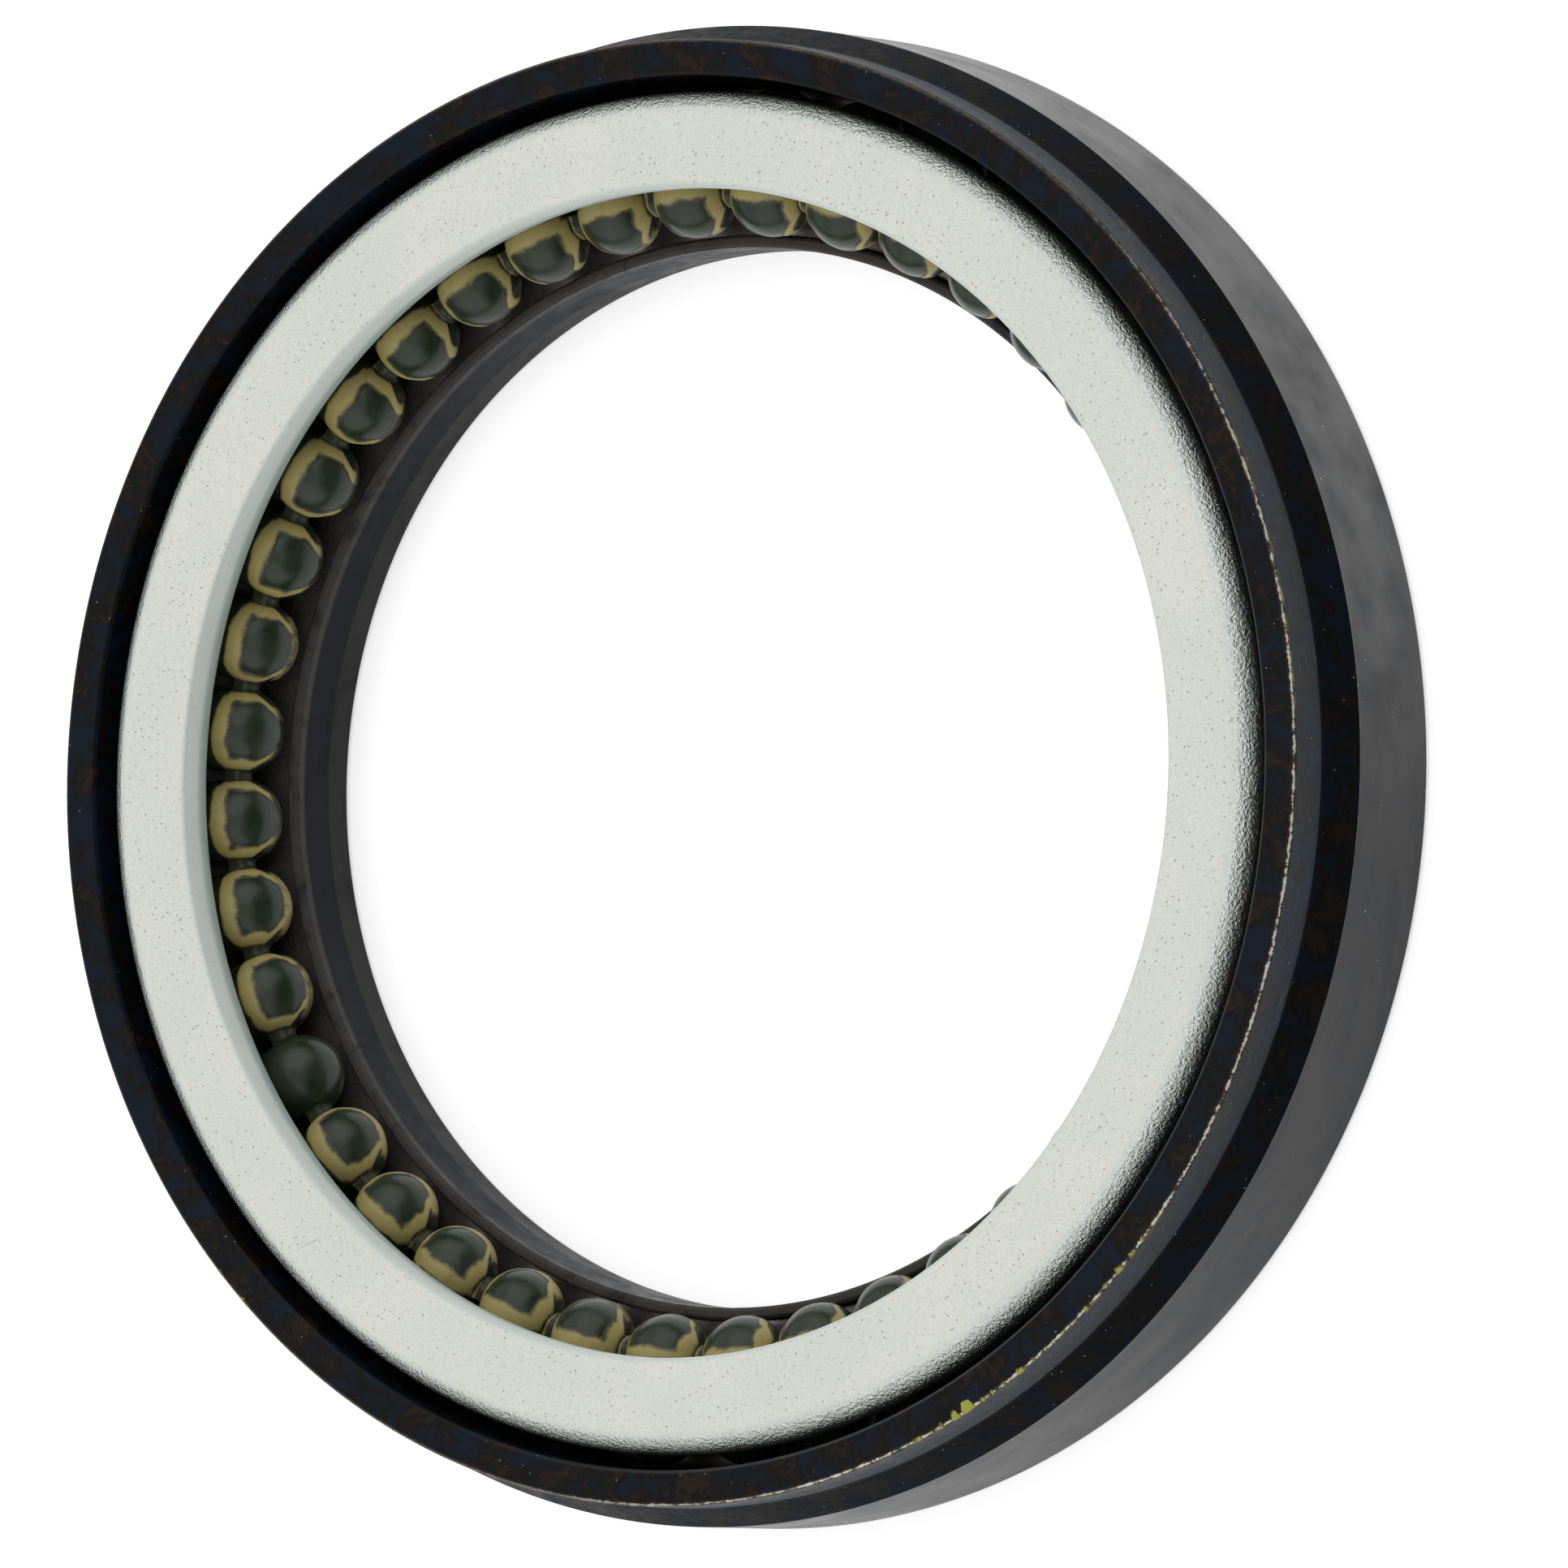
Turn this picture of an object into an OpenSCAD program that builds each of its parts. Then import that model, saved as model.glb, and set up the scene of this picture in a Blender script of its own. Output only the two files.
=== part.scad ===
// Thrust needle roller bearing, 49.5 mm in the bore and 70 mm over the band.
// A black steel housing ring holds a full complement of round-ended rollers, which lie
// radially on its floor behind a low lip, and a bright pressed thrust washer that turns on top of them.
// +Z is the bearing's axis, and the origin is the centre of the housing's back face.

/* [Housing ring] */
// Diameter of the bore
bore_d = 49.5; // [49:0.1:49.6]
// Diameter of the ground band at the back
band_d = 70; // [69.2:0.1:72]
// Height of the ground band, from the back face to the shoulder
band_h = 6.2; // [5:0.1:7]
// Diameter of the collar at the front
collar_d = 68.2; // [67:0.1:68.8]
// Length of the straight part of the collar
collar_h = 2.2; // [1:0.1:2.5]
// Thickness of the floor that the rollers run on
floor_t = 3.8; // [3.6:0.1:4.2]
// Height of the lip at the inner edge of the floor
lip_h = 0.85; // [0.4:0.05:0.9]
// Width of the lip
lip_w = 0.6; // [0.4:0.05:0.6]
// Diameter of the counterbore that takes the rollers and the washer
counterbore_d = 64.8; // [64.6:0.1:65.6]
// Height of the lead-in cone at the back of the bore
lead_in_h = 2; // [1:0.1:2.5]
// How much the lead-in cone widens the bore, on the radius
lead_in_w = 0.1; // [0.05:0.05:0.4]

/* [Thrust washer] */
// Bore diameter of the washer
washer_bore_d = 54.4; // [54:0.1:56]
// Outer diameter of the washer
washer_d = 63.4; // [62:0.1:63.6]
// Thickness of the washer
washer_t = 2.6; // [2.5:0.1:3]
// Radius of the upper outer edge
washer_edge_r = 1.25; // [0.8:0.05:1.25]
// Radius of the upper inner edge
washer_lip_r = 0.3; // [0.1:0.05:0.4]
// Radius of the two lower edges
washer_foot_r = 1.2; // [0.3:0.05:1.2]

/* [Rollers] */
// Diameter of a roller
roller_d = 4; // [3.6:0.1:4]
// Length of a roller over its round ends
roller_len = 7; // [5:0.1:7.1]
// Radius at which the rollers' inner tips lie
tip_r = 25.2; // [25.15:0.05:25.25]
// Clearance between a roller and each raceway
race_gap = 0.02; // [0.01:0.01:0.05]

/* [Grease] */
// Width of a bar of grease in the groove between two rollers
grease_w = 0.9; // [0.4:0.1:0.9]
// Height of a bar of grease
grease_h = 0.5; // [0.2:0.1:0.5]
// Length of a bar of grease
grease_len = 5; // [3:0.5:5]

/* [Hidden] */
roller_count = 40;
roller_pitch = 360 / roller_count;
first_angle = 4.5;
roller_r = roller_d / 2;
roller_z = floor_t + race_gap + roller_r;
lip_top = floor_t + lip_h;
washer_z = roller_z + roller_r + race_gap;
total_h = washer_z + washer_t;
flare_top = total_h - collar_h;
edge_break = 0.3;
rim_break = 0.15;
corner_r = 0.5;
corner_steps = 6;
edge_steps = 10;
grease_start_r = 26.8;
grease_lift = 0.05;
smooth = 180;
fine = 48;

roller_names = [for (i = [1 : roller_count]) str("roller_", i < 10 ? "0" : "", i)];

// Points of an arc about [cx, cz], from angle a to angle b
function arc(cx, cz, r, a, b, steps) =
    [for (k = [0 : steps]) [cx + r * cos(a + (b - a) * k / steps), cz + r * sin(a + (b - a) * k / steps)]];

// Angle of a roller about the bearing's axis
function roller_angle(i) = first_angle + (i - 1) * roller_pitch;

// Half section of the housing ring, anticlockwise from the bottom of the bore
function housing_section() = concat(
    [
        [bore_d / 2 + lead_in_w + edge_break, 0],
        [band_d / 2 - edge_break, 0],
        [band_d / 2, edge_break],
        [band_d / 2, band_h],
        [collar_d / 2, flare_top],
        [collar_d / 2, total_h - rim_break],
        [collar_d / 2 - rim_break, total_h],
        [counterbore_d / 2 + rim_break, total_h],
        [counterbore_d / 2, total_h - rim_break]
    ],
    arc(counterbore_d / 2 - corner_r, floor_t + corner_r, corner_r, 0, -90, corner_steps),
    [
        [bore_d / 2 + lip_w, floor_t],
        [bore_d / 2 + lip_w, lip_top - rim_break],
        [bore_d / 2 + lip_w - rim_break, lip_top],
        [bore_d / 2 + rim_break, lip_top],
        [bore_d / 2, lip_top - rim_break],
        [bore_d / 2, lead_in_h],
        [bore_d / 2 + lead_in_w, edge_break]
    ]
);

// Half section of the washer, anticlockwise from the bottom of its bore
function washer_section() = concat(
    arc(washer_bore_d / 2 + washer_foot_r, washer_z + washer_foot_r, washer_foot_r, 180, 270, corner_steps),
    arc(washer_d / 2 - washer_foot_r, washer_z + washer_foot_r, washer_foot_r, -90, 0, corner_steps),
    arc(washer_d / 2 - washer_edge_r, total_h - washer_edge_r, washer_edge_r, 0, 90, edge_steps),
    arc(washer_bore_d / 2 + washer_lip_r, total_h - washer_lip_r, washer_lip_r, 90, 180, corner_steps)
);

module housing_ring() {
    color([0.13, 0.13, 0.15])
        rotate_extrude($fn = smooth)
            polygon(housing_section());
}

module thrust_washer() {
    color([0.82, 0.84, 0.81])
        rotate_extrude($fn = smooth)
            polygon(washer_section());
}

// One bar of grease in each groove between two rollers, on the floor
module grease_bars() {
    color([0.72, 0.66, 0.4])
        for (i = [1 : roller_count])
            rotate([0, 0, roller_angle(i) + roller_pitch / 2])
                translate([grease_start_r, -grease_w / 2, floor_t + grease_lift])
                    cube([grease_len, grease_w, grease_h]);
}

// A straight roller with two round ends, lying along a radius of the bearing
module roller(i) {
    color([0.42, 0.45, 0.4])
        rotate([0, 0, roller_angle(i)])
            translate([tip_r + roller_r, 0, roller_z]) {
                rotate([0, 90, 0])
                    cylinder(h = roller_len - roller_d, r = roller_r, $fn = fine);
                sphere(r = roller_r, $fn = fine);
                translate([roller_len - roller_d, 0, 0])
                    sphere(r = roller_r, $fn = fine);
            }
}

housing_ring();
thrust_washer();
grease_bars();
for (i = [1 : roller_count])
    roller(i);
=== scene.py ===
"""Looks of the thrust needle roller bearing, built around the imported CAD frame."""
import math
import bpy
from mathutils import Matrix, Vector, noise


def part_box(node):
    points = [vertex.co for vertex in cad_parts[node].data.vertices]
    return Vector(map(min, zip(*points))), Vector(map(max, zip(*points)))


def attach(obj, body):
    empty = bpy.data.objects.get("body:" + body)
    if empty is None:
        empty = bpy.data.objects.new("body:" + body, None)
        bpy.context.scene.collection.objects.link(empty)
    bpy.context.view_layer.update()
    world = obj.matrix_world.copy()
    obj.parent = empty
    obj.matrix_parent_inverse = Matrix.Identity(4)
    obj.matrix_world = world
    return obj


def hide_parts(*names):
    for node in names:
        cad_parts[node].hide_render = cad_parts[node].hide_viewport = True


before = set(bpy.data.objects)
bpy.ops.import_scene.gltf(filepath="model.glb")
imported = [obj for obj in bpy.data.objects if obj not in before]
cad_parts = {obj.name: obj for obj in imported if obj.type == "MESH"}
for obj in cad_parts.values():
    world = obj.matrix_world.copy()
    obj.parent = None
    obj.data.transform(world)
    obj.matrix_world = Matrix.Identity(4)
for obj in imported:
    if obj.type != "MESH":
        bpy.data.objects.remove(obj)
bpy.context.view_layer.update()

MM = 0.001
RING_SEGMENTS = 720

# ---------------------------------------------------------------- sizes from the CAD, in mm
low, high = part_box("housing_ring")
BAND_R = high.x / MM
TOTAL_H = high.z / MM
washer_low, washer_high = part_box("thrust_washer")
WASHER_R = washer_high.x / MM
WASHER_Z = washer_low.z / MM
roller_low, roller_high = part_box("roller_01")
ROLLER_R = (roller_high.z - roller_low.z) / MM / 2
ROLLER_Z = (roller_high.z + roller_low.z) / MM / 2

BORE_R = 24.75
BAND_H = 6.2
COLLAR_R = 34.1
COLLAR_H = 2.2
FLARE_TOP = TOTAL_H - COLLAR_H
FLOOR_Z = 3.8
LIP_TOP = FLOOR_Z + 0.85
LIP_W = 0.6
COUNTERBORE_R = 32.4
LEAD_H = 2.0
LEAD_W = 0.1
EDGE = 0.3
RIM = 0.15
CORNER_R = 0.5
WASHER_BORE_R = 27.2
WASHER_EDGE_R = 1.25
WASHER_LIP_R = 0.3
WASHER_FOOT_R = 1.2
ROLLER_COUNT = 40
ROLLER_PITCH = 360 / ROLLER_COUNT
FIRST_ANGLE = 4.5
TIP_R = 25.2
DOME_R = TIP_R + ROLLER_R
STRAIGHT = 3.0


# ---------------------------------------------------------------- material building
class Shader:
    """One node material. Lengths inside it are in millimetres."""

    def __init__(self, name):
        self.material = bpy.data.materials.new(name)
        self.material.use_nodes = True
        self.tree = self.material.node_tree
        self.bsdf = self.tree.nodes["Principled BSDF"]
        coord = self.tree.nodes.new("ShaderNodeTexCoord")
        self.mm = self.vector("SCALE", coord.outputs["Object"], scale=1 / MM)
        self.x, self.y, self.z = self.split(self.mm)
        self.r = self.math("SQRT", self.math("ADD", self.math("MULTIPLY", self.x, self.x),
                                             self.math("MULTIPLY", self.y, self.y)))

    def put(self, socket, value):
        if isinstance(value, bpy.types.NodeSocket):
            self.tree.links.new(value, socket)
        elif isinstance(value, tuple) and len(value) == 3 and socket.type == "RGBA":
            socket.default_value = (*value, 1)
        else:
            socket.default_value = value

    def math(self, operation, a, b=0.0, clamp=False):
        node = self.tree.nodes.new("ShaderNodeMath")
        node.operation = operation
        node.use_clamp = clamp
        self.put(node.inputs[0], a)
        self.put(node.inputs[1], b)
        return node.outputs[0]

    def vector(self, operation, a, b=None, scale=None):
        node = self.tree.nodes.new("ShaderNodeVectorMath")
        node.operation = operation
        self.put(node.inputs[0], a)
        if b is not None:
            self.put(node.inputs[1], b)
        if scale is not None:
            node.inputs["Scale"].default_value = scale
        return node.outputs[0]

    def split(self, vector):
        node = self.tree.nodes.new("ShaderNodeSeparateXYZ")
        self.put(node.inputs[0], vector)
        return node.outputs[0], node.outputs[1], node.outputs[2]

    def join(self, x, y, z):
        node = self.tree.nodes.new("ShaderNodeCombineXYZ")
        for socket, value in zip(node.inputs, (x, y, z)):
            self.put(socket, value)
        return node.outputs[0]

    def noise(self, scale, detail=3.0, rough=0.55, at=None, distortion=0.0, shift=0.0):
        """Cloudy noise from 0 to 1, with scale in features per mm."""
        place = self.mm if at is None else at
        if shift:
            place = self.vector("ADD", place, (shift, shift * 0.7, -shift * 0.4))
        node = self.tree.nodes.new("ShaderNodeTexNoise")
        self.put(node.inputs["Vector"], place)
        node.inputs["Scale"].default_value = scale
        node.inputs["Detail"].default_value = detail
        node.inputs["Roughness"].default_value = rough
        node.inputs["Distortion"].default_value = distortion
        return node.outputs["Fac"]

    def cells(self, scale):
        """Distance to the nearest point of a scattered set."""
        node = self.tree.nodes.new("ShaderNodeTexVoronoi")
        self.put(node.inputs["Vector"], self.mm)
        node.inputs["Scale"].default_value = scale
        return node.outputs["Distance"]

    def rise(self, value, start, end, low=0.0, high=1.0):
        """low below start, high above end, smooth between them; start may be above end."""
        node = self.tree.nodes.new("ShaderNodeMapRange")
        node.interpolation_type = "SMOOTHSTEP"
        self.put(node.inputs["Value"], value)
        if start > end:
            start, end, low, high = end, start, high, low
        for name, number in (("From Min", start), ("From Max", end), ("To Min", low), ("To Max", high)):
            node.inputs[name].default_value = number
        return node.outputs["Result"]

    def blend(self, amount, a, b):
        """Colour a where amount is 0, b where it is 1."""
        node = self.tree.nodes.new("ShaderNodeMix")
        node.data_type = "RGBA"
        self.put(node.inputs["Factor"], amount)
        self.put(node.inputs["A"], a)
        self.put(node.inputs["B"], b)
        return node.outputs["Result"]

    def mix(self, amount, a, b):
        node = self.tree.nodes.new("ShaderNodeMix")
        node.data_type = "FLOAT"
        self.put(node.inputs["Factor"], amount)
        self.put(node.inputs["A"], a)
        self.put(node.inputs["B"], b)
        return node.outputs["Result"]

    def both(self, a, b):
        return self.math("MULTIPLY", a, b, clamp=True)

    def either(self, a, b):
        return self.math("MAXIMUM", a, b, clamp=True)

    def along_ring(self, tangential, radial, axial):
        """Coordinates that stretch marks along the ring, so they read as turned or brushed."""
        return self.join(self.math("MULTIPLY", self.x, tangential),
                         self.math("MULTIPLY", self.y, tangential),
                         self.math("ADD", self.math("MULTIPLY", self.r, radial),
                                   self.math("MULTIPLY", self.z, axial)))

    def corner(self, r, z):
        """Distance in mm from the circle of radius r at height z."""
        dr = self.math("SUBTRACT", self.r, r)
        dz = self.math("SUBTRACT", self.z, z)
        return self.math("SQRT", self.math("ADD", self.math("MULTIPLY", dr, dr),
                                           self.math("MULTIPLY", dz, dz)))

    def facing(self, degrees, start, end):
        """0 to 1 by how far a place lies towards that angle about the axis; start and end are cosines."""
        a = math.radians(degrees)
        along = self.math("ADD", self.math("MULTIPLY", self.x, math.cos(a)),
                          self.math("MULTIPLY", self.y, math.sin(a)))
        return self.rise(self.math("DIVIDE", along, self.r), start, end)

    def attribute(self, name):
        node = self.tree.nodes.new("ShaderNodeAttribute")
        node.attribute_name = name
        return node.outputs["Fac"]

    def bump(self, height, depth, strength=1.0, normal=None):
        """Bump whose full height is depth, in mm."""
        node = self.tree.nodes.new("ShaderNodeBump")
        node.inputs["Strength"].default_value = strength
        node.inputs["Distance"].default_value = depth * MM
        self.put(node.inputs["Height"], height)
        if normal is not None:
            self.put(node.inputs["Normal"], normal)
        return node.outputs["Normal"]

    def finish(self, colour, roughness, metallic=0.0, normal=None, **constants):
        self.put(self.bsdf.inputs["Base Color"], colour)
        self.put(self.bsdf.inputs["Roughness"], roughness)
        self.put(self.bsdf.inputs["Metallic"], metallic)
        if normal is not None:
            self.put(self.bsdf.inputs["Normal"], normal)
        for name, number in constants.items():
            self.bsdf.inputs[name.replace("_", " ")].default_value = number
        return self.material


def oxide(name, base, navy, brown, gloss, streak, shine):
    """Black oxide on turned steel: mottled navy and brown, fine pits, dust specks, a worn outer corner that
    is partly a painted highlight, and a painted highlight bead on the inner rim.
    """
    s = Shader(name)
    cloud = s.noise(0.55, 5, 0.62, distortion=0.6)
    fine = s.noise(3.2, 4, 0.6, shift=7.0)
    drawn = s.noise(1.0, 4, 0.7, at=s.along_ring(0.45, 5.0, 5.0))
    colour = s.blend(s.rise(cloud, 0.48, 0.58), base, navy)
    colour = s.blend(s.both(s.rise(cloud, 0.47, 0.38), s.rise(fine, 0.36, 0.56)), colour, brown)
    colour = s.blend(s.math("MULTIPLY", s.rise(drawn, 0.57, 0.8), streak), colour,
                     (navy[0] * 3 + 0.012, navy[1] * 3 + 0.012, navy[2] * 2.4 + 0.014))
    speck = s.both(s.rise(s.cells(1.7), 0.075, 0.035), s.rise(s.noise(0.35, 2, shift=3.0), 0.42, 0.6))
    colour = s.blend(s.math("MULTIPLY", speck, 0.75), colour, (0.38, 0.38, 0.36))
    # near is 1 on the near side of the ring; it carries the painted highlight on the corner line and on the
    # inner rim.
    near = s.facing(-30, 0.1, 0.8)
    ragged = s.math("MULTIPLY", s.math("SUBTRACT", s.noise(2.8, 5, 0.75, shift=11.0), 0.5), 0.34)
    distance = s.math("ADD", s.corner(COLLAR_R - 0.04, TOTAL_H - 0.04), ragged)
    strength = s.math("ADD", s.math("MULTIPLY", near, 0.8), 0.05)
    # The corner line is real wear and partly a painted highlight: it is brightest on the near side.
    wear_and_highlight = s.math("MULTIPLY", s.rise(distance, 0.085, 0.045), strength)
    colour = s.blend(s.math("MULTIPLY", s.rise(distance, 0.2, 0.1), 0.45), colour, (0.05, 0.036, 0.02))
    colour = s.blend(wear_and_highlight, colour, (0.62, 0.60, 0.52))
    # Painted highlight: a thin grey bead on the inner rim of the face, on the near side only.
    inner = s.both(s.rise(s.corner(COUNTERBORE_R + 0.08, TOTAL_H - 0.07), 0.14, 0.06), near)
    colour = s.blend(s.math("MULTIPLY", inner, 0.35), colour, (0.09, 0.09, 0.09))
    pits = s.bump(s.rise(fine, 0.3, 0.7), 0.012, 0.5)
    marks = s.bump(drawn, 0.012, 0.5, pits)
    grit = s.bump(s.noise(9.0, 2, 0.5), 0.006, 0.4, marks)
    rough = s.math("ADD", s.rise(cloud, 0.3, 0.7, gloss, gloss + 0.14), s.rise(fine, 0.35, 0.7, 0.0, 0.08))
    rough = s.mix(wear_and_highlight, rough, 0.5)
    return s.finish(colour, rough, s.math("MULTIPLY", wear_and_highlight, 0.25), grit, Specular_IOR_Level=shine)


def ground_band():
    """Satin ground band: black oxide with a painted warm grey sheen, lighter towards one side, brushed along
    the ring, with navy clouds.
    """
    s = Shader("ground_band_steel")
    cloud = s.noise(0.22, 5, 0.6, at=s.along_ring(0.8, 0.0, 2.2), distortion=0.5)
    brushed = s.noise(1.0, 4, 0.75, at=s.along_ring(0.35, 9.0, 11.0))
    fine = s.noise(6.0, 3, 0.6)
    colour = s.blend(s.rise(cloud, 0.35, 0.66), (0.015, 0.014, 0.014), (0.006, 0.009, 0.014))
    # Painted highlight: the band is lighter grey towards one side of the ring.
    painted_sheen = s.both(s.facing(48, 0.55, 0.95), s.rise(s.noise(0.3, 3, shift=6.0), 0.2, 0.7))
    colour = s.blend(s.math("MULTIPLY", painted_sheen, 0.8), colour, (0.10, 0.10, 0.102))
    colour = s.blend(s.math("MULTIPLY", s.rise(brushed, 0.5, 0.8), 0.4), colour, (0.06, 0.06, 0.062))
    speck = s.both(s.rise(s.cells(1.1), 0.07, 0.035), s.rise(s.noise(0.3, 2, shift=9.0), 0.48, 0.62))
    colour = s.blend(s.math("MULTIPLY", speck, 0.7), colour, (0.5, 0.5, 0.48))
    ragged = s.math("MULTIPLY", s.math("SUBTRACT", s.noise(1.6, 4, 0.7), 0.5), 0.2)
    edge = s.rise(s.math("ADD", s.corner(BAND_R, BAND_H), ragged), 0.08, 0.03)
    colour = s.blend(s.math("MULTIPLY", edge, 0.35), colour, (0.2, 0.2, 0.2))
    marks = s.bump(brushed, 0.01, 0.4)
    grit = s.bump(fine, 0.005, 0.4, marks)
    rough = s.math("ADD", s.rise(cloud, 0.3, 0.7, 0.28, 0.38), s.rise(brushed, 0.4, 0.8, 0.0, 0.08))
    return s.finish(colour, rough, 0.0, grit, Specular_IOR_Level=0.24)


def bore_steel():
    """Bore wall and lip: a navy band with stains, and a lighter brown-grey lead-in below and lip above."""
    s = Shader("bore_wall_steel")
    cloud = s.noise(0.5, 5, 0.65, distortion=0.8)
    turned = s.noise(1.0, 3, 0.7, at=s.along_ring(0.3, 4.0, 8.0))
    lead_in = s.rise(s.z, LEAD_H + 0.05, LEAD_H - 0.05)
    colour = s.blend(lead_in, (0.0035, 0.0055, 0.0095), (0.019, 0.0175, 0.018))
    colour = s.blend(s.rise(s.z, FLOOR_Z + 0.1, FLOOR_Z + 0.4), colour, (0.048, 0.046, 0.045))
    colour = s.blend(s.math("MULTIPLY", s.rise(cloud, 0.5, 0.7), 0.55), colour, (0.006, 0.005, 0.006))
    colour = s.blend(s.math("MULTIPLY", s.rise(turned, 0.55, 0.8), 0.35), colour, (0.03, 0.03, 0.034))
    marks = s.bump(turned, 0.012, 0.4)
    grit = s.bump(s.noise(5.0, 3, 0.6), 0.008, 0.4, marks)
    rough = s.rise(cloud, 0.3, 0.7, 0.32, 0.46)
    return s.finish(colour, rough, 0.0, grit, Specular_IOR_Level=0.06)


def raceway_steel():
    """Ground raceway under a film of old oil: reflective brown-grey steel with fine turned lines."""
    s = Shader("raceway_steel")
    cloud = s.noise(0.7, 4, 0.6, distortion=0.4)
    turned = s.noise(1.0, 3, 0.7, at=s.along_ring(0.3, 9.0, 4.0))
    colour = s.blend(s.rise(cloud, 0.35, 0.65), (0.36, 0.33, 0.32), (0.24, 0.21, 0.20))
    colour = s.blend(s.math("MULTIPLY", s.rise(turned, 0.5, 0.8), 0.4), colour, (0.14, 0.13, 0.13))
    normal = s.bump(turned, 0.008, 0.4, s.bump(s.noise(4.0, 3, 0.6), 0.01, 0.4))
    return s.finish(colour, s.rise(cloud, 0.3, 0.7, 0.24, 0.36), 0.85, normal)


def zinc():
    """Zinc plate on a pressed washer: pale warm grey, fine pits, hair scratches, a glittering edge tinted by
    a painted bluish-grey reflection, and painted shade in the bore.
    """
    s = Shader("zinc_plate_washer")
    cloud = s.noise(0.16, 4, 0.6, distortion=0.5)
    fine = s.noise(4.5, 4, 0.65)
    grain = s.noise(9.0, 2, 0.5, shift=5.0)
    colour = s.blend(s.rise(cloud, 0.32, 0.68), (0.69, 0.705, 0.64), (0.65, 0.675, 0.62))
    colour = s.blend(s.math("MULTIPLY", s.rise(fine, 0.48, 0.62), 0.35), colour, (0.56, 0.565, 0.50))
    colour = s.blend(s.math("MULTIPLY", s.rise(grain, 0.52, 0.68), 0.4), colour, (0.50, 0.50, 0.45))
    pit = s.both(s.rise(s.cells(3.0), 0.19, 0.08), s.rise(s.noise(0.5, 3, shift=13.0), 0.34, 0.50))
    colour = s.blend(s.math("MULTIPLY", pit, 0.75), colour, (0.20, 0.17, 0.12))
    scratch = 0.0
    for turn, shift in ((0.4, 2.0), (1.7, 8.0), (2.6, 21.0)):
        c, n = math.cos(turn), math.sin(turn)
        along = s.math("ADD", s.math("MULTIPLY", s.x, c), s.math("MULTIPLY", s.y, n))
        across = s.math("SUBTRACT", s.math("MULTIPLY", s.y, c), s.math("MULTIPLY", s.x, n))
        lines = s.noise(1.0, 3, 0.6, at=s.join(s.math("MULTIPLY", along, 0.14),
                                               s.math("MULTIPLY", across, 4.5), s.z), shift=shift)
        scratch = s.either(scratch, s.rise(lines, 0.69, 0.77))
    scratch = s.both(scratch, s.rise(s.noise(0.4, 2, shift=4.0), 0.42, 0.6))
    colour = s.blend(s.math("MULTIPLY", scratch, 0.5), colour, (0.24, 0.23, 0.19))
    rounded = s.rise(s.r, WASHER_R - 1.15, WASHER_R - 0.65)
    # Painted reflection: the rounded outer edge is tinted bluish grey.
    colour = s.blend(s.math("MULTIPLY", rounded, 0.8), colour, (0.60, 0.64, 0.61))
    # Painted shade: the bore wall is darker bluish grey, and darker still towards its bottom.
    inner = s.rise(s.r, WASHER_BORE_R + 0.3, WASHER_BORE_R + 0.1)
    colour = s.blend(s.math("MULTIPLY", inner, 0.75), colour, (0.56, 0.61, 0.58))
    low_inner = s.both(inner, s.rise(s.z, TOTAL_H - 0.9, WASHER_Z + WASHER_FOOT_R))
    colour = s.blend(s.math("MULTIPLY", low_inner, 0.8), colour, (0.27, 0.35, 0.33))
    peel = s.noise(6.5, 3, 0.6, shift=17.0)
    wave = s.noise(1.0, 3, 0.6, at=s.along_ring(0.8, 5.0, 5.0), shift=23.0)
    bumps = s.bump(fine, 0.04, 0.7)
    bumps = s.bump(grain, 0.010, 0.5, bumps)
    bumps = s.bump(s.math("MULTIPLY", pit, -1.0), 0.02, 0.6, bumps)
    bumps = s.bump(s.math("MULTIPLY", peel, rounded), 0.13, 1.0, bumps)
    bumps = s.bump(s.math("MULTIPLY", wave, rounded), 0.06, 0.6, bumps)
    rough = s.math("ADD", s.rise(cloud, 0.3, 0.7, 0.44, 0.52), s.math("MULTIPLY", rounded, -0.27))
    return s.finish(colour, rough, s.rise(rounded, 0.0, 1.0, 0.12, 0.96), bumps)


def roller_steel():
    """Hardened roller steel under a thin oil film: dark green-grey, with faint grinding rings and spots."""
    s = Shader("roller_oiled_steel")
    cloud = s.noise(0.7, 4, 0.6)
    fine = s.noise(5.0, 3, 0.6)
    colour = s.blend(s.rise(cloud, 0.35, 0.65), (0.012, 0.022, 0.010), (0.022, 0.030, 0.019))
    colour = s.blend(s.math("MULTIPLY", s.rise(fine, 0.6, 0.8), 0.4), colour, (0.010, 0.014, 0.009))
    rough = s.rise(cloud, 0.3, 0.7, 0.24, 0.34)
    return s.finish(colour, rough, 0.05, s.bump(fine, 0.006, 0.4), Specular_IOR_Level=0.36)


def grease(name, thick, thin, attribute):
    """Grease whose colour deepens with the attribute that holds its thickness, from 0 to 1."""
    s = Shader(name)
    body = s.attribute(attribute)
    cloud = s.noise(1.6, 4, 0.6)
    amount = s.math("ADD", body, s.rise(cloud, 0.3, 0.7, -0.18, 0.18), clamp=True)
    colour = s.blend(s.rise(amount, 0.10, 0.85), thin, thick)
    colour = s.blend(s.math("MULTIPLY", s.rise(s.noise(5.0, 3), 0.55, 0.8), 0.35), colour,
                     (thick[0] * 0.55, thick[1] * 0.5, thick[2] * 0.4))
    normal = s.bump(s.noise(2.2, 3, 0.55), 0.03, 0.5)
    rough = s.rise(cloud, 0.3, 0.7, 0.36, 0.5)
    return s.finish(colour, rough, 0.0, normal, Specular_IOR_Level=0.35)


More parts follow.
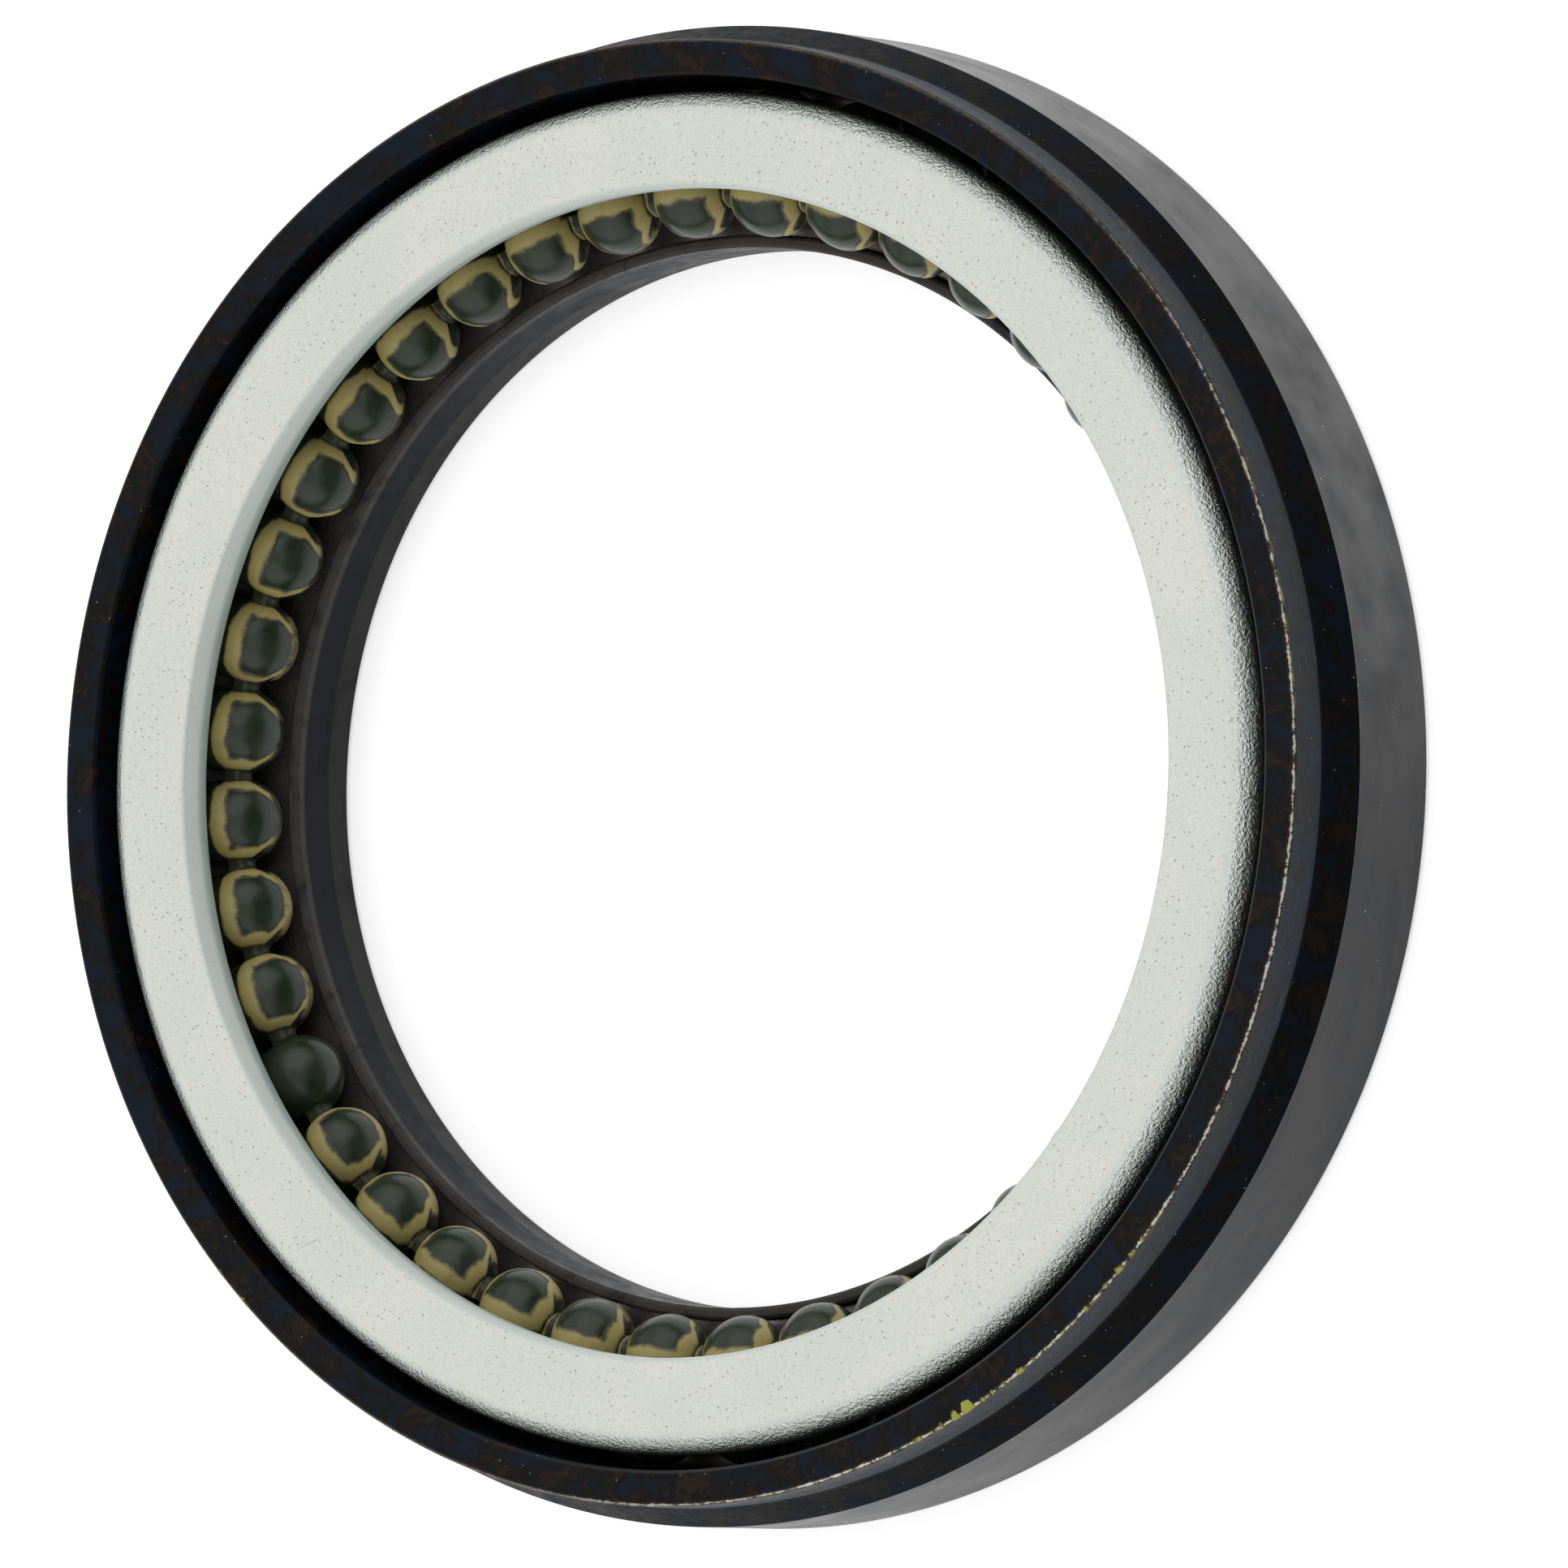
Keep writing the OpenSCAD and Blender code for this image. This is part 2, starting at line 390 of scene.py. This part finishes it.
# ---------------------------------------------------------------- meshes
def fillet(points, sizes, steps=5):
    """The closed outline points, in mm, with each corner rounded back by its size."""
    out = []
    count = len(points)
    for k, corner in enumerate(points):
        size = sizes[k]
        p, a, b = Vector(corner), Vector(points[k - 1]), Vector(points[(k + 1) % count])
        if size <= 0:
            out.append(tuple(p))
            continue
        to_a, to_b = (a - p), (b - p)
        start = p + to_a.normalized() * min(size, to_a.length * 0.45)
        end = p + to_b.normalized() * min(size, to_b.length * 0.45)
        out.append(tuple(start + to_a.normalized() * 0.015))
        for i in range(steps + 1):
            t = i / steps
            out.append(tuple(start * (1 - t) ** 2 + p * 2 * t * (1 - t) + end * t * t))
        out.append(tuple(end + to_b.normalized() * 0.015))
    return out


def arc(r, z, radius, start, end, steps):
    angles = [math.radians(start + (end - start) * k / steps) for k in range(steps + 1)]
    return [(r + radius * math.cos(a), z + radius * math.sin(a)) for a in angles]


def make_object(name, vertices, faces, materials, zones=None, sharp=30):
    mesh = bpy.data.meshes.new(name)
    mesh.from_pydata([(x * MM, y * MM, z * MM) for x, y, z in vertices], [], faces)
    for material in materials:
        mesh.materials.append(material)
    if zones:
        mesh.polygons.foreach_set("material_index", zones)
    mesh.polygons.foreach_set("use_smooth", [True] * len(mesh.polygons))
    mesh.set_sharp_from_angle(angle=math.radians(sharp))
    mesh.validate()
    mesh.update()
    piece = bpy.data.objects.new(name, mesh)
    bpy.context.scene.collection.objects.link(piece)
    return piece


def lathe(name, outline, materials, zone):
    """A closed ring of that outline, given anticlockwise with the radius first."""
    count = len(outline)
    vertices, faces, zones = [], [], []
    for i in range(RING_SEGMENTS):
        a = 2 * math.pi * i / RING_SEGMENTS
        c, s = math.cos(a), math.sin(a)
        vertices += [(r * c, r * s, z) for r, z in outline]
    picked = []
    for k in range(count):
        (r0, z0), (r1, z1) = outline[k], outline[(k + 1) % count]
        picked.append(zone((r0 + r1) / 2, (z0 + z1) / 2))
    for i in range(RING_SEGMENTS):
        j = (i + 1) % RING_SEGMENTS
        for k in range(count):
            n = (k + 1) % count
            faces.append((i * count + k, j * count + k, j * count + n, i * count + n))
            zones.append(picked[k])
    return make_object(name, vertices, faces, materials, zones)


# ---------------------------------------------------------------- housing ring
housing_outline = fillet(
    [
        (BORE_R + LEAD_W + EDGE, 0), (BAND_R - EDGE, 0), (BAND_R, EDGE), (BAND_R, BAND_H),
        (COLLAR_R, FLARE_TOP), (COLLAR_R, TOTAL_H - RIM), (COLLAR_R - RIM, TOTAL_H),
        (COUNTERBORE_R + RIM, TOTAL_H), (COUNTERBORE_R, TOTAL_H - RIM), (COUNTERBORE_R, FLOOR_Z),
        (BORE_R + LIP_W, FLOOR_Z), (BORE_R + LIP_W, LIP_TOP - RIM), (BORE_R + LIP_W - RIM, LIP_TOP),
        (BORE_R + RIM, LIP_TOP), (BORE_R, LIP_TOP - RIM), (BORE_R, LEAD_H), (BORE_R + LEAD_W, EDGE),
    ],
    [0.1, 0.1, 0.1, 0.06, 0.3, 0.07, 0.07, 0.06, 0.06, CORNER_R, 0.06, 0.06, 0.06, 0.06, 0.06, 0.12, 0.08],
)


# Indices into the housing's materials
FACE, BAND, BORE, COLLAR, CONE, RACEWAY = range(6)


def housing_zone(r, z):
    """Which material the housing has at that radius and height."""
    if abs(z - FLOOR_Z) < 0.06 and r > BORE_R + LIP_W + 0.02:
        return RACEWAY
    if r < BORE_R + LIP_W + 0.02:
        return BORE
    if z < 0.02 or (r > BAND_R - EDGE - 0.05 and z < BAND_H - 0.02):
        return BAND
    if r > COLLAR_R - 0.16 and z < TOTAL_H - 0.03:
        return COLLAR if z > FLARE_TOP - 0.05 else CONE
    return FACE


housing = lathe("housing_body", housing_outline, [
    oxide("oxide_face", (0.0040, 0.0038, 0.0040), (0.0035, 0.0065, 0.0145), (0.016, 0.0095, 0.007),
          gloss=0.30, streak=0.14, shine=0.10),
    ground_band(),
    bore_steel(),
    # A lighter, bluer copy of the oxide on the collar: painted reflection.
    oxide("oxide_collar", (0.005, 0.007, 0.011), (0.009, 0.015, 0.027), (0.006, 0.005, 0.005),
          gloss=0.34, streak=0.7, shine=0.16),
    # A darker copy of the oxide on the cone: painted shade.
    oxide("oxide_cone", (0.0018, 0.0018, 0.002), (0.0016, 0.003, 0.007), (0.006, 0.004, 0.003),
          gloss=0.32, streak=0.12, shine=0.03),
    raceway_steel(),
], housing_zone)
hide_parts("housing_ring")
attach(housing, "housing")

# ---------------------------------------------------------------- thrust washer
washer_outline = (
    arc(WASHER_BORE_R + WASHER_FOOT_R, WASHER_Z + WASHER_FOOT_R, WASHER_FOOT_R, 180, 270, 9)
    + arc(WASHER_R - WASHER_FOOT_R, WASHER_Z + WASHER_FOOT_R, WASHER_FOOT_R, -90, 0, 9)
    + arc(WASHER_R - WASHER_EDGE_R, TOTAL_H - WASHER_EDGE_R, WASHER_EDGE_R, 0, 90, 14)
    + arc(WASHER_BORE_R + WASHER_LIP_R, TOTAL_H - WASHER_LIP_R, WASHER_LIP_R, 90, 180, 7)
)
washer = lathe("washer_body", washer_outline, [zinc()], lambda r, z: 0)
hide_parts("thrust_washer")
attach(washer, "washer")

# ---------------------------------------------------------------- rollers
ROUND = 56
DOME_STEPS = 20


def roller_axes(index):
    """Outward, tangential and upward axes of a roller, and the centre of its inner dome."""
    a = math.radians(FIRST_ANGLE + index * ROLLER_PITCH)
    out = Vector((math.cos(a), math.sin(a), 0))
    side = Vector((-math.sin(a), math.cos(a), 0))
    return out, side, Vector((0, 0, 1)), out * DOME_R + Vector((0, 0, ROLLER_Z))


steel = roller_steel()
roller_profile = [(ROLLER_R * math.sin(math.radians(t)), -ROLLER_R * math.cos(math.radians(t)))
                  for t in [90 * k / DOME_STEPS for k in range(DOME_STEPS + 1)]]
roller_profile += [(radius, STRAIGHT - x) for radius, x in reversed(roller_profile)]
for index in range(ROLLER_COUNT):
    out, side, up, centre = roller_axes(index)
    vertices = [centre + out * roller_profile[0][1]]
    for radius, x in roller_profile[1:-1]:
        for k in range(ROUND):
            t = 2 * math.pi * k / ROUND
            vertices.append(centre + out * x + side * radius * math.cos(t) + up * radius * math.sin(t))
    vertices.append(centre + out * roller_profile[-1][1])
    last = len(vertices) - 1
    faces = []
    for k in range(ROUND):
        n = (k + 1) % ROUND
        faces.append((0, 1 + n, 1 + k))
        for ring in range(len(roller_profile) - 3):
            a, b = 1 + ring * ROUND, 1 + (ring + 1) * ROUND
            faces.append((a + k, a + n, b + n, b + k))
        faces.append((last, last - ROUND + k, last - ROUND + n))
    name = f"roller_{index + 1:02d}"
    piece = make_object(name + "_body", [tuple(v) for v in vertices], faces, [steel], sharp=180)
    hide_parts(name)
    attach(piece, name)

# ---------------------------------------------------------------- grease between the rollers
half_pitch = DOME_R * math.sin(math.radians(ROLLER_PITCH / 2))
# Distance from a roller's mid plane at which the grease in a groove starts
WET = 1.84
ACROSS = 14
AROUND = 40
# How far the grease runs back under the washer, and down round the domes
UNDER = 0.5
DOWN = 5.2
# Thickness below which grease counts as none
BARE = 0.001


def wobble(point, scale, shift=0.0):
    """Smooth noise from about -1 to 1, with scale in features per mm."""
    return noise.noise(Vector(point) * scale + Vector((shift, shift, shift)))


def ramp(value, width):
    """From -1 to 1, straight through 0 at value 0, reaching 1 at the width."""
    return max(-1.0, min(1.0, value / width))


def ease(t):
    t = max(0.0, min(1.0, t))
    return t * t * (3 - 2 * t)


def sector(angle, middle, half):
    """1 at the middle angle, falling to 0 at half degrees from it."""
    away = abs((angle - middle + 180) % 360 - 180)
    return max(0.0, 1 - away / half)


grease_vertices, grease_faces, grease_body = [], [], []


def grease_grid(rows, columns, place):
    """Adds a grid of points; place(row, column) gives a point and its thickness."""
    first = len(grease_vertices)
    for i in range(rows):
        for j in range(columns):
            point, body = place(i, j)
            grease_vertices.append(tuple(point))
            grease_body.append(body)
    for i in range(rows - 1):
        for j in range(columns - 1):
            a = first + i * columns + j
            face = (a, a + columns, a + columns + 1, a + 1)
            if any(grease_body[v] > BARE for v in face):
                grease_faces.append(face)


# How far the grease in each groove wraps round the domes, in mm from their tops
wraps = []
for index in range(ROLLER_COUNT):
    angle = FIRST_ANGLE + (index + 0.5) * ROLLER_PITCH
    wraps.append(3.5 + 1.0 * sector(angle, 105, 55) + 0.9 * sector(angle, 228, 50)
                 + 0.9 * wobble((index * 2.3, 5.0, 0), 1.0))

for index in range(ROLLER_COUNT):
    turn = math.radians(FIRST_ANGLE + (index + 0.5) * ROLLER_PITCH)
    out = Vector((math.cos(turn), math.sin(turn), 0))
    side = Vector((-math.sin(turn), math.cos(turn), 0))
    up = Vector((0, 0, 1))
    middle = out * (DOME_R * math.cos(math.radians(ROLLER_PITCH / 2))) + up * ROLLER_Z
    angle = FIRST_ANGLE + (index + 0.5) * ROLLER_PITCH
    full = 0.12 + 0.8 * sector(angle, 95, 55) + 0.7 * sector(angle, 262, 50)
    full += 0.15 * wobble((index * 1.7, 0.3, 0), 1.0)

    def bridge(i, j, out=out, side=side, up=up, middle=middle, full=full, index=index):
        across = -1 + 2 * j / (ACROSS - 1)
        along = -UNDER + (DOWN + UNDER) * i / (AROUND - 1)
        gamma = max(0.0, along / ROLLER_R)
        neck = 0.66 - 0.20 * ease(gamma / 1.2)
        rim = math.sqrt(ROLLER_R ** 2 - WET ** 2)
        height = neck + (rim - neck) * abs(across) ** 2.2
        point = middle - out * height * math.sin(gamma) + up * height * math.cos(gamma)
        point += out * max(0.0, -along) + side * across * (half_pitch - WET + 0.04)
        point += (point - middle).normalized() * 0.04 * wobble(point, 1.4, index)
        strength = ease((wraps[index] - along) / 0.7 + 0.5)
        return point, 0.02 + full * strength * ease((abs(across) - 0.3) / 0.45)

    grease_grid(AROUND, ACROSS, bridge)

# A thin skin on each dome: under the washer's edge, beside each groove, and low on some tips
SKIN_ROWS = 74
SKIN_COLUMNS = 46
SKIN_HALF = 1.88
# Where the skin starts and how long it is, measured round the dome from its top
SKIN_START = -0.8
SKIN_LENGTH = 5.9
# The one roller that has hardly any grease
DRY_ANGLE = 211.5
for index in range(ROLLER_COUNT):
    out, side, up, centre = roller_axes(index)
    angle = FIRST_ANGLE + index * ROLLER_PITCH
    greasy = 1 - sector(angle, DRY_ANGLE, 5)
    top = (0.9 + 0.25 * wobble((index * 3.1, 2.0, 0), 1.0)) * greasy
    low = (1.3 * sector(angle, 228, 48) + 0.9 * wobble((index * 1.3, 9.0, 0), 1.0)) * greasy

    def skin(i, j, out=out, side=side, up=up, centre=centre, index=index, top=top, low=low,
             greasy=greasy):
        lateral = SKIN_HALF * (-1 + 2 * j / (SKIN_COLUMNS - 1))
        along = SKIN_START + SKIN_LENGTH * i / (SKIN_ROWS - 1)
        gamma = max(0.0, along / ROLLER_R)
        reach = math.sqrt(ROLLER_R ** 2 - lateral ** 2)
        normal = side * lateral + (up * math.cos(gamma) - out * math.sin(gamma)) * reach
        point = centre + normal + out * max(0.0, -along)
        normal.normalize()
        ripple = 0.16 * wobble(point, 1.1, index * 3.3)
        beside = abs(lateral)
        groove = wraps[index] if lateral > 0 else wraps[index - 1]
        edge_band = min(ramp(along + 0.5 + ripple, 0.25), ramp(0.62 + ripple - along, 0.4),
                        ramp(1.75 - beside, 0.25), top)
        shut = 1.28 - 0.6 * ease((along - 2.1) / 1.2)
        side_band = min(ramp(beside - shut + ripple, 0.22), ramp(shut + 0.58 - beside, 0.15),
                        ramp(groove - along, 0.8), ramp(along + 0.4, 0.3), greasy * 2 - 1)
        low_band = min(ramp(along - 3.0 + ripple, 0.35), ramp(4.15 + ripple - along, 0.35),
                       ramp(1.6 - beside, 0.3), low)
        body = max(edge_band, side_band, low_band)
        lift = 0.055 * math.sqrt(body) if body > 0 else 0.07 * body
        return point + normal * lift, max(0.0, body)

    grease_grid(SKIN_ROWS, SKIN_COLUMNS, skin)


def grease_piece(name, vertices, faces, body, material, rides):
    """A grease mesh with its thickness as an attribute, without unused points."""
    used = sorted({v for f in faces for v in f})
    place = {old: new for new, old in enumerate(used)}
    piece = make_object(name, [vertices[v] for v in used], [tuple(place[v] for v in f) for f in faces],
                        [material], sharp=180)
    layer = piece.data.attributes.new("body", "FLOAT", "POINT")
    layer.data.foreach_set("value", [body[v] for v in used])
    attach(piece, rides)
    return piece


roller_grease = grease_piece(
    "roller_grease", grease_vertices, grease_faces, grease_body,
    grease("roller_grease", (0.34, 0.285, 0.105), (0.024, 0.028, 0.016), "body"), "roller_set")
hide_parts("grease_bars")

# ---------------------------------------------------------------- grease smear on the housing's front corner
smear_vertices, smear_faces, smear_body = [], [], []
# Each smear's middle angle, half width in degrees, and reach inwards in mm
SMEARS = [(-59.4, 0.6, 0.55), (-60.7, 0.4, 0.42), (-62.2, 0.25, 0.2), (-57.9, 0.2, 0.2),
          (-56.9, 0.15, 0.24), (-55.6, 0.2, 0.2), (-53.9, 0.4, 0.2), (-52.4, 0.2, 0.15), (-64.6, 0.5, 0.18),
          (-46.3, 0.2, 0.16), (-43.7, 0.3, 0.2), (-42.0, 0.45, 0.26), (-40.4, 0.3, 0.2),
          (-38.9, 0.2, 0.15), (-133.0, 0.7, 0.18), (-136.0, 0.5, 0.16)]
smear_outline = [(COLLAR_R, TOTAL_H - 0.45), (COLLAR_R, TOTAL_H - 0.3), (COLLAR_R, TOTAL_H - RIM),
                 (COLLAR_R - 0.07, TOTAL_H - 0.07), (COLLAR_R - RIM, TOTAL_H)]
smear_outline += [(COLLAR_R - RIM - 0.08 * k, TOTAL_H) for k in range(1, 13)]


def smear(i, j, start, end, columns, film):
    """A point of a smear's grid and its thickness; film adds a thin line below the corner."""
    degrees = start + (end - start) * j / (columns - 1)
    turn = math.radians(degrees)
    r, z = smear_outline[i]
    spot = Vector((COLLAR_R * turn, i * 0.08, 0))
    body = -1.0
    if z < TOTAL_H - 0.1:
        if film:
            body = ramp(0.17 + 0.16 * wobble(spot, 1.3, 9.0) - (TOTAL_H - z), 0.1) * 0.4
    else:
        for middle, half, reach in SMEARS:
            away = abs(degrees - middle) / half
            edge = reach * math.sqrt(1 - away * away) if away < 1 else 1 - away
            ragged = 0.10 * wobble(spot, 3.0) + 0.16 * wobble(spot, 8.0)
            body = max(body, ramp(edge + ragged - (COLLAR_R - r), 0.12))
    lift = 0.04 * math.sqrt(body) if body > 0 else 0.05 * body
    normal = (1.0, 0.0) if i < 2 else ((0.7, 0.7) if i < 5 else (0.0, 1.0))
    r, z = r + normal[0] * lift, z + normal[1] * lift
    return (r * math.cos(turn), r * math.sin(turn), z), max(0.0, body)


for start, end, film in ((-66, -32, True), (5, 27, True), (-137.5, -131, False)):
    columns = int((end - start) * 12)
    first = len(smear_vertices)
    for i in range(len(smear_outline)):
        for j in range(columns):
            point, body = smear(i, j, start, end, columns, film)
            smear_vertices.append(point)
            smear_body.append(body)
    for i in range(len(smear_outline) - 1):
        for j in range(columns - 1):
            a = first + i * columns + j
            face = (a, a + 1, a + columns + 1, a + columns)
            if any(smear_body[v] > BARE for v in face):
                smear_faces.append(face)
grease_piece("housing_grease_smear", smear_vertices, smear_faces, smear_body,
             grease("housing_grease", (0.30, 0.30, 0.035), (0.10, 0.085, 0.02), "body"), "housing")

# ---------------------------------------------------------------- floor, light and camera
floor_shader = Shader("pale_floor")
floor_tone = floor_shader.rise(floor_shader.noise(0.02, 3), 0.3, 0.7, 0.88, 0.9)
floor_material = floor_shader.finish(floor_shader.join(floor_tone, floor_tone, floor_tone), 0.9,
                                     Emission_Color=(1, 1, 1, 1), Emission_Strength=0.5)
floor = make_object("studio_floor", [(-3000, -3000, 0), (3000, -3000, 0), (3000, 3000, 0), (-3000, 3000, 0)],
                    [(0, 1, 2, 3)], [floor_material])

world = bpy.data.worlds.new("studio")
bpy.context.scene.world = world
world.use_nodes = True
tree = world.node_tree
direction = tree.nodes.new("ShaderNodeTexCoord")
split = tree.nodes.new("ShaderNodeSeparateXYZ")
tree.links.new(direction.outputs["Generated"], split.inputs[0])


def direction_ramp(socket, start, end, low, high):
    node = tree.nodes.new("ShaderNodeMapRange")
    node.interpolation_type = "SMOOTHSTEP"
    for name, number in (("From Min", start), ("From Max", end), ("To Min", low), ("To Max", high)):
        node.inputs[name].default_value = number
    tree.links.new(socket, node.inputs["Value"])
    return node.outputs["Result"]


# A bright tent all round, with a dark low opening on the near side
SKY = 0.9
opening = tree.nodes.new("ShaderNodeMath")
opening.operation = "MULTIPLY"
tree.links.new(direction_ramp(split.outputs[0], 0.45, 0.75, 0.0, 1.0), opening.inputs[0])
tree.links.new(direction_ramp(split.outputs[2], 0.62, 0.82, 1.0, 0.0), opening.inputs[1])
strength = tree.nodes.new("ShaderNodeMath")
strength.operation = "MULTIPLY_ADD"
tree.links.new(opening.outputs[0], strength.inputs[0])
strength.inputs[1].default_value = -0.94 * SKY
strength.inputs[2].default_value = SKY
tree.links.new(strength.outputs[0], tree.nodes["Background"].inputs["Strength"])
tree.nodes["Background"].inputs["Color"].default_value = (1, 1, 1, 1)


def soft_light(name, place, size, power):
    light = bpy.data.lights.new(name, "AREA")
    light.size = size
    light.energy = power
    lamp = bpy.data.objects.new(name, light)
    lamp.location = place
    lamp.rotation_euler = (-Vector(place)).to_track_quat("-Z", "Y").to_euler()
    bpy.context.scene.collection.objects.link(lamp)


soft_light("key_light", (0.1, 0.6, 0.6), 0.9, 1.8)
soft_light("fill_light", (0.0, -0.65, 0.5), 0.9, 1.3)

camera_data = bpy.data.cameras.new("photo_camera")
camera_data.sensor_width = 36
camera_data.lens = 460
camera_data.clip_start = 0.01
camera_data.clip_end = 20
camera = bpy.data.objects.new("photo_camera", camera_data)
bpy.context.scene.collection.objects.link(camera)
back = Vector((0.5436, -0.0363, 0.8385)).normalized()
up = Vector((0, 0.999, 0.0433))
up = (up - back * up.dot(back)).normalized()
right = up.cross(back)
camera.matrix_world = Matrix.Translation((0.5099, -0.0342, 0.7870)) @ Matrix(
    (right, up, back)).transposed().to_4x4()
bpy.context.scene.camera = camera
bpy.context.scene.view_settings.view_transform = "Standard"
